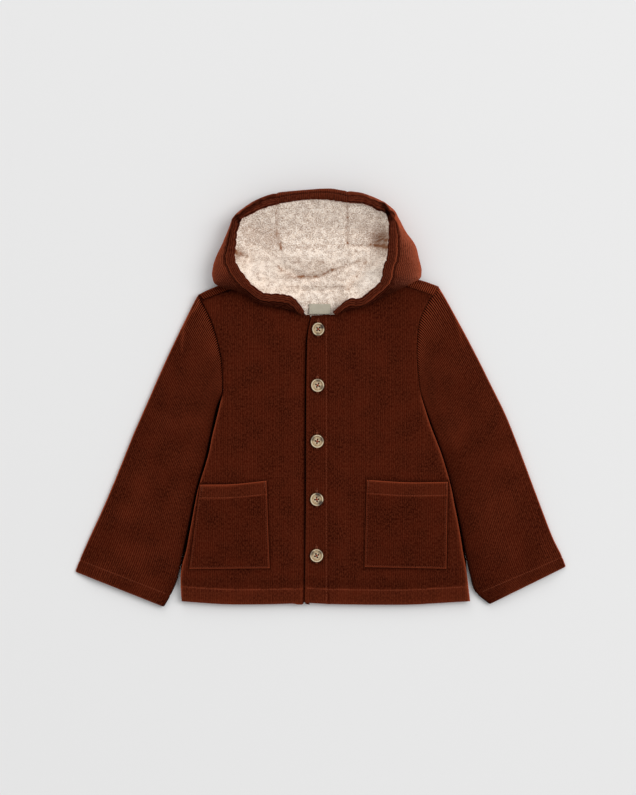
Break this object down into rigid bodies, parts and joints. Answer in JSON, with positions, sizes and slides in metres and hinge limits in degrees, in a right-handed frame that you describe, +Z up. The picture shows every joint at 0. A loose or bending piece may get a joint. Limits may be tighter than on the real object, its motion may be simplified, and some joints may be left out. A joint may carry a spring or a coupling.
{
  "type": "child's hooded corduroy coat with teddy lining, laid flat",
  "caption": "Buttoned hooded coat of ribbed corduroy with a fleecy teddy lining and patch pockets, laid flat on its back with the hood open.",
  "frame": {"origin": "centre of the bounding box, on the surface that the coat lies on", "axes": "+X to the wearer's left across the sleeves, +Y from the hem to the hood, +Z up out of the front"},
  "size_m": [0.6378, 0.5424, 0.037],
  "materials": {
    "corduroy": "cut-pile ribs, about 11 to the inch, rust brown, soft sheen",
    "teddy": "curly cream pile, matte",
    "horn": "marbled horn look, satin polish",
    "label": "plain woven tape"
  },
  "bodies": {
    "root": {"back": "corduroy", "front_left": "corduroy", "front_right": "corduroy", "sleeve_left": "corduroy", "sleeve_right": "corduroy", "pocket_left": "corduroy", "pocket_right": "corduroy", "hood_center": "corduroy", "hood_side_left": "corduroy", "hood_side_right": "corduroy", "hood_lining_center": "teddy", "hood_lining_side_left": "teddy", "hood_lining_side_right": "teddy", "neck_lining": "teddy", "neck_label": "label", "button_1": "horn", "button_2": "horn", "button_3": "horn", "button_4": "horn", "button_5": "horn"}
  },
  "joints": []
}
